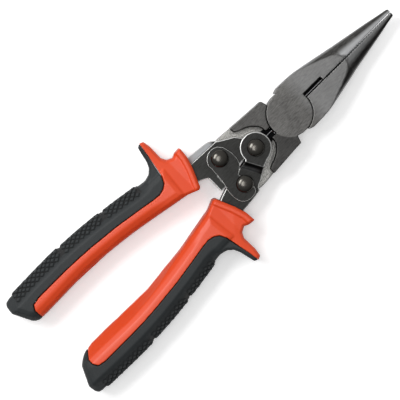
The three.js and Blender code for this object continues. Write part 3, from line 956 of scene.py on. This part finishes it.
@dataclass
class Grips:
    """The two-colour grips: an orange core, and a black overmould with raised scales outside."""

    skin_mm: float = 0.36
    fairing: int = 10
    outer_edge: Profile = (
        (-163, 31.5), (-145, 32.7), (-130, 32.7), (-118, 32.1), (-110, 31.4),
        (-102, 30.5), (-92, 29.2), (-85, 28), (-77, 26.7), (-66, 26.2),
    )
    inner_edge: Profile = (
        (-163, 15), (-154, 14.8), (-145, 14.8), (-125, 15.2), (-115, 14.8),
        (-105, 13.8), (-95, 12.6), (-85, 11), (-75, 9.2), (-62, 6.9),
    )
    outer_taper: float = 0.36
    inner_taper: float = 0.14
    guard_x: float = -72.0
    heel_corner: tuple[float, float] = (-157.6, 27.1)  # centre of the round at the outer end
    heel_round: float = 5.4
    heel_squareness: float = 4.0
    collar_end: Profile = ((4.5, -55.9), (9, -54.1), (15, -51.5), (21, -49.7), (26, -49.4))  # y, x
    collar_width: float = 3.1
    collar_step: float = 1.0
    neck_start: float = -64.0
    scale_ends: tuple[float, ...] = (-157.0, -125.5, -98.5, -77.0)
    pad_step: float = 0.5
    scale_pitch: float = 3.3
    scale_rows: int = 13
    scale_reach: dict[Side, float] = field(
        default_factory=lambda: {Side.LEFT: 58.0, Side.RIGHT: 50.0}
    )  # degrees each way round the outer side
    scale_width: float = 2.3
    scale_height: float = 0.6
    facet_slant: float = 3.5
    facet_ridge: Profile = ((-156, 15.2), (-135, 15.5), (-125, 16.0), (-108, 14.6), (-100, 13.1), (-84, 9.8))
    facet_edge: Profile = ((-156, 11.4), (-135, 11.2), (-120, 12.0), (-110, 12.0), (-100, 11.0), (-84, 8.4))

    def shift(self, side: Side) -> tuple[float, float]:
        """How far this side's grip sits from the left one's place, in its own coordinates."""
        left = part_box("left_grip_overmould")
        if side is Side.LEFT:
            return 0.0, 0.0
        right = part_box("right_grip_overmould")
        return (right[0].x - left[0].x) / MM, (-right[0].y - left[1].y) / MM

    def faired(self, profile: Profile, x: np.ndarray) -> np.ndarray:
        """A smooth reading of a table of points.

        Args:
            profile: The table's points.
            x: Where it is read.

        Returns:
            The values there.
        """
        dense = np.arange(profile[0][0] - 8, profile[-1][0] + 8, 0.5)
        values = np.interp(dense, *zip(*profile))
        window = np.hanning(21) / np.hanning(21).sum()
        padded = np.pad(values, 10, mode="edge")
        return np.interp(x, dense, np.convolve(padded, window, mode="valid"))

    def section_at(self, x: np.ndarray) -> tuple[np.ndarray, np.ndarray]:
        """Middle and half width of a grip.

        Args:
            x: Positions along the left grip.

        Returns:
            The middle's y and the half width at each x.
        """
        outer, inner = self.faired(self.outer_edge, x), self.faired(self.inner_edge, x)
        return (outer + inner) / 2, (outer - inner) / 2

    def shape(self, piece: bpy.types.Object, side: Side, is_core: bool) -> None:
        """Rounds a grip piece's section, and adds its pads, its collar or its facet, with painted shade on the
        overmould's pads under the scales.

        Args:
            piece: The dense skin.
            side: The side it is on.
            is_core: True for the orange core, False for the overmould.
        """
        shift_x, shift_y = self.shift(side)
        points = coordinates(piece.data)
        x = points[:, 0] - shift_x
        y = points[:, 1] * side.value - shift_y
        z = points[:, 2] - MIDDLE_Z
        middle, half = self.section_at(x)
        across = np.clip(np.abs(y - middle) / half, 0, 1)
        ease = np.clip((across - 0.3) / 0.7, 0, 1)
        behind_guard = np.clip((self.guard_x - x) / 8, 0, 1)
        taper = np.where(y > middle, self.outer_taper, self.inner_taper)
        z = z * (1 - taper * ease**2 * (3 - 2 * ease) * behind_guard)
        if is_core:
            z = self.turn_collar(x, y, z)
        else:
            x, y = self.square_heel(x, y)
            outward = np.clip((y - middle) / half, 0, 1)
            on_pads = np.zeros(len(x))
            for start, end in zip(self.scale_ends, self.scale_ends[1:]):
                inside = (x > start) & (x < end)
                rise = 0.15 + (self.pad_step - 0.15) * (x - start) / (end - start)
                y = y + np.where(inside, rise * np.clip((outward - 0.45) / 0.25, 0, 1), 0)
                on_pads = np.maximum(on_pads, inside)
            # Painted shade on the pads where the scales sit, so that the gaps between them read dark.
            angle = np.degrees(np.arctan2(np.abs(z), y - middle))
            mark(piece, "painted_shade", on_pads * np.clip((self.scale_reach[side] + 3 - angle) / 3, 0, 1))
            x = x + 0.3 * np.clip((y - 27) / 5, 0, 1)
        if side is Side.RIGHT:
            x_own = x + shift_x
            ridge, edge = self.faired(self.facet_ridge, x_own), self.faired(self.facet_edge, x_own)
            present = np.clip((x_own + 161) / 12, 0, 1) * np.clip((-84 - x_own) / 14, 0, 1)
            own_y = y + shift_y
            cad_edge = self.faired(self.inner_edge, x) + shift_y
            depth = np.clip((ridge - own_y) / np.maximum(ridge - cad_edge, 0.5), 0, 1) * present
            y = y - depth * np.maximum(cad_edge - edge, 0)
            z = z * (1 - 0.55 * depth)
            x = x + self.facet_slant * depth * np.clip((-145 - x_own) / 6, 0, 1)
        points = np.stack([x + shift_x, (y + shift_y) * side.value, z + MIDDLE_Z], axis=1)
        set_coordinates(piece.data, points)

    def turn_collar(self, x: np.ndarray, y: np.ndarray, z: np.ndarray) -> np.ndarray:
        """Lowers the neck behind the collar, so that the collar stands out as a rim.

        Args:
            x: Positions along the left grip.
            y: Positions across it.
            z: Heights from the middle plane.

        Returns:
            The new heights.
        """
        end = np.interp(y, *zip(*self.collar_end))
        on_neck = np.clip((end - self.collar_width - x) / 0.35, 0, 1) * np.clip((x - self.neck_start) / 6, 0, 1)
        outer_fall = np.clip((y - 15 - (x + 53) * -1.1) / 8, 0, 1)
        on_face = np.clip((np.abs(z) - 5) / 3, 0, 1)
        return z - np.sign(z) * on_neck * on_face * (self.collar_step + 0.5 * outer_fall)

    def square_heel(self, x: np.ndarray, y: np.ndarray) -> tuple[np.ndarray, np.ndarray]:
        """Draws the round at the grip's outer end out to a squarer corner.

        Args:
            x: Positions along the left grip.
            y: Positions across it.

        Returns:
            The new positions.
        """
        back, out = self.heel_corner[0] - x, y - self.heel_corner[1]
        reach = np.hypot(back, out) + 1e-6
        in_corner = (back > 0) & (out > 0)
        power = self.heel_squareness
        spread = (np.abs(back / reach) ** power + np.abs(out / reach) ** power) ** (-1 / power)
        grow = 1 + (spread - 1) * np.clip(reach / self.heel_round, 0, 1)
        grow = np.where(in_corner, grow, 1)
        return self.heel_corner[0] - back * grow, self.heel_corner[1] + out * grow

    def scale_guide(self, piece: bpy.types.Object, side: Side) -> bpy.types.Object:
        """Finds where the scales sit on the overmould's outer side.

        Args:
            piece: The overmould.
            side: The side it is on.

        Returns:
            A mesh of loose points with a turn at each, in radians.
        """
        tree = BVHTree.FromObject(piece, bpy.context.evaluated_depsgraph_get())
        shift_x, shift_y = self.shift(side)
        places, turns = [], []
        for row in range(self.scale_rows):
            angle = math.radians(self.scale_reach[side] * (2 * row / (self.scale_rows - 1) - 1))
            stagger = self.scale_pitch / 2 if row % 2 else 0
            for x in np.arange(self.scale_ends[0] + 1.5 + stagger, self.scale_ends[-1] - 1, self.scale_pitch):
                if min(abs(x - end) for end in self.scale_ends[1:]) < self.scale_pitch * 0.42:
                    continue
                middle, _ = self.section_at(np.array([x]))
                core = Vector((x + shift_x, (middle[0] + shift_y) * side.value, MIDDLE_Z)) * MM
                out = Vector((0, side.value * math.cos(angle), math.sin(angle)))
                hit, normal, _, _ = tree.ray_cast(core + out * 40 * MM, -out)
                if hit is None:
                    continue
                along = (Vector((1, 0, 0)) - normal * normal.x).normalized()
                frame_of_scale = Matrix((along, normal.cross(along), normal)).transposed()
                places.append(hit)
                turns.append(frame_of_scale.to_euler())
        mesh = bpy.data.meshes.new(f"{side.word}_scale_guide")
        mesh.from_pydata(places, [], [])
        store = mesh.attributes.new("scale_turn", "FLOAT_VECTOR", "POINT")
        store.data.foreach_set("vector", np.array(turns, np.float32).ravel())
        return new_piece(f"{side.word}_grip_scales", mesh)

    def scale_tree(self) -> bpy.types.NodeTree:
        """The node tree that sets a low diamond on each point of a guide, with painted shade darkest at its foot.

        Returns:
            The tree, with inputs for the diamond's sizes and material.
        """
        tree = bpy.data.node_groups.new("moulded_scales", "GeometryNodeTree")
        tree.interface.new_socket("Geometry", in_out="INPUT", socket_type="NodeSocketGeometry")
        for name in ("Scale Length", "Scale Width", "Scale Height"):
            tree.interface.new_socket(name, in_out="INPUT", socket_type="NodeSocketFloat")
        tree.interface.new_socket("Finish", in_out="INPUT", socket_type="NodeSocketMaterial")
        tree.interface.new_socket("Geometry", in_out="OUTPUT", socket_type="NodeSocketGeometry")
        given = add_node(tree, "NodeGroupInput").outputs
        diamond = add_node(
            tree,
            "GeometryNodeMeshCone",
            {"Vertices": 4, "Radius Top": 0.62, "Radius Bottom": 1.0, "Depth": 1.0},
        )
        place = add_node(tree, "GeometryNodeInputPosition")
        level = add_node(tree, "ShaderNodeSeparateXYZ", {0: place.outputs[0]})
        # Painted shade on each diamond: full on its lower half, fading towards its top.
        depth = add_node(
            tree,
            "ShaderNodeMapRange",
            {"Value": level.outputs["Z"], "From Min": 0.0, "From Max": 0.9, "To Min": 1.0, "To Max": 0.0},
        )
        foot_shaded = add_node(
            tree,
            "GeometryNodeStoreNamedAttribute",
            {"Geometry": diamond.outputs[0], "Name": "painted_shade", "Value": depth.outputs[0]},
            data_type="FLOAT",
            domain="POINT",
        )
        stretch = add_node(
            tree,
            "ShaderNodeCombineXYZ",
            {"X": given["Scale Length"], "Y": given["Scale Width"], "Z": given["Scale Height"]},
        )
        sized = add_node(
            tree, "GeometryNodeTransform", {"Geometry": foot_shaded.outputs[0], "Scale": stretch.outputs[0]}
        )
        turn = add_node(tree, "GeometryNodeInputNamedAttribute", {"Name": "scale_turn"}, data_type="FLOAT_VECTOR")
        rotation = add_node(tree, "FunctionNodeEulerToRotation", {0: turn.outputs[0]})
        vary = add_node(tree, "FunctionNodeRandomValue", {"Seed": 7}, data_type="FLOAT")
        vary.inputs[2].default_value = 0.93
        vary.inputs[3].default_value = 1.07
        spread = add_node(
            tree,
            "GeometryNodeInstanceOnPoints",
            {
                "Points": given["Geometry"],
                "Instance": sized.outputs[0],
                "Rotation": rotation.outputs[0],
                "Scale": vary.outputs[1],
            },
        )
        real = add_node(tree, "GeometryNodeRealizeInstances", {0: spread.outputs[0]})
        dressed = add_node(
            tree, "GeometryNodeSetMaterial", {"Geometry": real.outputs[0], "Material": given["Finish"]}
        )
        add_node(tree, "NodeGroupOutput", {0: dressed.outputs[0]})
        return tree

    def add_scales(self, piece: bpy.types.Object, side: Side, tree: bpy.types.NodeTree, finishes: Finishes) -> None:
        """Covers the overmould's outer side with scales, as a piece of their own.

        Args:
            piece: The overmould.
            side: The side it is on.
            tree: The node tree that sets the scales.
            finishes: The materials.
        """
        scales = self.scale_guide(piece, side)
        modifier = scales.modifiers.new("moulded_scales", "NODES")
        modifier.node_group = tree
        sizes = {
            "Scale Length": self.scale_pitch * 0.5 * MM,
            "Scale Width": self.scale_width * 0.6 * MM,
            "Scale Height": self.scale_height * MM,
            "Finish": finishes.by_slot[Slot.BLACK],
        }
        for socket in tree.interface.items_tree:
            if socket.name in sizes:
                modifier[socket.identifier] = sizes[socket.name]
        bake_modifiers(scales)
        finish_piece(scales, finishes, Slot.BLACK, side.lever_body)

    def build(self, finishes: Finishes) -> None:
        """Makes both grips."""
        tree = self.scale_tree()
        for side in Side:
            core_node = f"{side.word}_grip_core"
            core = copy_of_node(core_node)
            soften(core, self.skin_mm, 1)
            relax(core, self.fairing)
            self.shape(core, side, is_core=True)
            finish_piece(core, finishes, Slot.ORANGE, side.lever_body, [core_node])
            over_node = f"{side.word}_grip_overmould"
            over = copy_of_node(over_node)
            soften(over, self.skin_mm, 1)
            relax(over, self.fairing)
            self.shape(over, side, is_core=False)
            self.add_scales(over, side, tree, finishes)
            finish_piece(over, finishes, Slot.BLACK, side.lever_body, [over_node])


# ---------------------------------------------------------------- studio


@dataclass
class Studio:
    """Floor, lights, world and camera."""

    view_width: float = 193.0
    aim: tuple[float, float, float] = (-60.1, 1.1, 12.0)
    distance: float = 900.0
    lean_degrees: float = 3.5  # towards the left side
    roll_degrees: float = -45.0
    floor_size: float = 4000.0
    floor_lift: float = 0.34  # keeps the paper white to the camera under a plain level of light

    def add_camera(self) -> None:
        """Sets the camera over the front of the tool, with the nose up and to the right."""
        data = bpy.data.cameras.new("camera")
        data.sensor_width = 36.0
        data.lens = 36.0 * self.distance / self.view_width
        camera = bpy.data.objects.new("camera", data)
        bpy.context.scene.collection.objects.link(camera)
        lean = Matrix.Rotation(math.radians(-self.lean_degrees), 4, "X")
        turn = lean @ Matrix.Rotation(math.radians(self.roll_degrees), 4, "Z")
        aim = Vector(self.aim) * MM
        camera.matrix_world = Matrix.Translation(aim) @ turn @ Matrix.Translation((0, 0, self.distance * MM))
        bpy.context.scene.camera = camera

    def add_lamp(self, name: str, place: tuple[float, float, float], size: tuple[float, float], watts: float) -> None:
        """Hangs a softbox that points at the middle of the tool.

        Args:
            name: The lamp's name.
            place: Where it hangs, in millimetres.
            size: Its width and height in millimetres.
            watts: Its power.
        """
        data = bpy.data.lights.new(name, "AREA")
        data.shape = "RECTANGLE"
        data.size = size[0] * MM
        data.size_y = size[1] * MM
        data.energy = watts
        lamp = bpy.data.objects.new(name, data)
        bpy.context.scene.collection.objects.link(lamp)
        lamp.location = Vector(place) * MM
        lamp.rotation_mode = "QUATERNION"
        direction = Vector(self.aim) * MM - lamp.location
        lamp.rotation_quaternion = direction.to_track_quat("-Z", "Y")

    def add_world(self) -> None:
        """Soft room light: brighter from above and from the left side than from the right."""
        world = bpy.data.worlds.new("room")
        world.use_nodes = True
        tree = world.node_tree
        background = tree.nodes["Background"]
        place = add_node(tree, "ShaderNodeTexCoord").outputs["Generated"]
        toward = add_node(tree, "ShaderNodeVectorMath", {0: place, 1: (0.15, 0.75, 0.65)}, operation="DOT_PRODUCT")
        level = add_node(
            tree,
            "ShaderNodeMapRange",
            {"Value": toward.outputs["Value"], "From Min": -0.4, "From Max": 0.95, "To Min": 0.12, "To Max": 0.66},
        )
        path = add_node(tree, "ShaderNodeLightPath")
        strength = add_node(
            tree,
            "ShaderNodeMix",
            {"Factor": path.outputs["Is Camera Ray"], 2: level.outputs[0], 3: 1.0},
            data_type="FLOAT",
        )
        tree.links.new(strength.outputs[0], background.inputs["Strength"])
        background.inputs["Color"].default_value = (1, 1, 1, 1)
        bpy.context.scene.world = world

    def add_floor(self) -> None:
        """A wide pale sheet just under the tool's lowest point."""
        low = CAD_BOX[0].z - 0.1 * MM
        half = self.floor_size / 2 * MM
        mesh = bpy.data.meshes.new("floor")
        corners = [(-half, -half, low), (half, -half, low), (half, half, low), (-half, half, low)]
        mesh.from_pydata(corners, [], [(0, 1, 2, 3)])
        floor = new_piece("floor", mesh)
        material, tree, shader = shader_of("matt_white_paper")
        path = add_node(tree, "ShaderNodeLightPath")
        seen = add_node(
            tree,
            "ShaderNodeMath",
            {0: path.outputs["Is Camera Ray"], 1: path.outputs["Is Glossy Ray"]},
            operation="MAXIMUM",
        )
        colour = add_node(
            tree,
            "ShaderNodeMix",
            {"Factor": seen.outputs[0], 6: linear("#9a9a9a"), 7: (1.0, 1.0, 1.0, 1)},
            data_type="RGBA",
        )
        tree.links.new(colour.outputs[2], shader.inputs["Base Color"])
        lift = add_node(
            tree,
            "ShaderNodeMath",
            {0: path.outputs["Is Camera Ray"], 1: self.floor_lift},
            operation="MULTIPLY",
        )
        tree.links.new(lift.outputs[0], shader.inputs["Emission Strength"])
        shader.inputs["Emission Color"].default_value = (1, 1, 1, 1)
        shader.inputs["Roughness"].default_value = 0.9
        shader.inputs["Specular IOR Level"].default_value = 0.0
        mesh.materials.append(material)

    def build(self) -> None:
        """Sets up the whole studio."""
        bpy.context.scene.view_settings.view_transform = "Standard"
        self.add_camera()
        self.add_world()
        self.add_floor()
        self.add_lamp("key_softbox", (-150, 330, 520), (300, 200), 2.05)
        self.add_lamp("top_softbox", (-110, 60, 760), (260, 200), 1.0)


def main() -> None:
    """Builds the studio and every sub-assembly, in order."""
    logging.basicConfig(level=logging.INFO, format="%(name)s: %(message)s")
    Studio().build()
    finishes = Finishes()
    for assembly in (Jaws(), Levers(), Latch(), Rivets(), Spring(), Grips()):
        assembly.build(finishes)
        log.info("%s done", type(assembly).__name__)


if __name__ == "__main__":
    main()
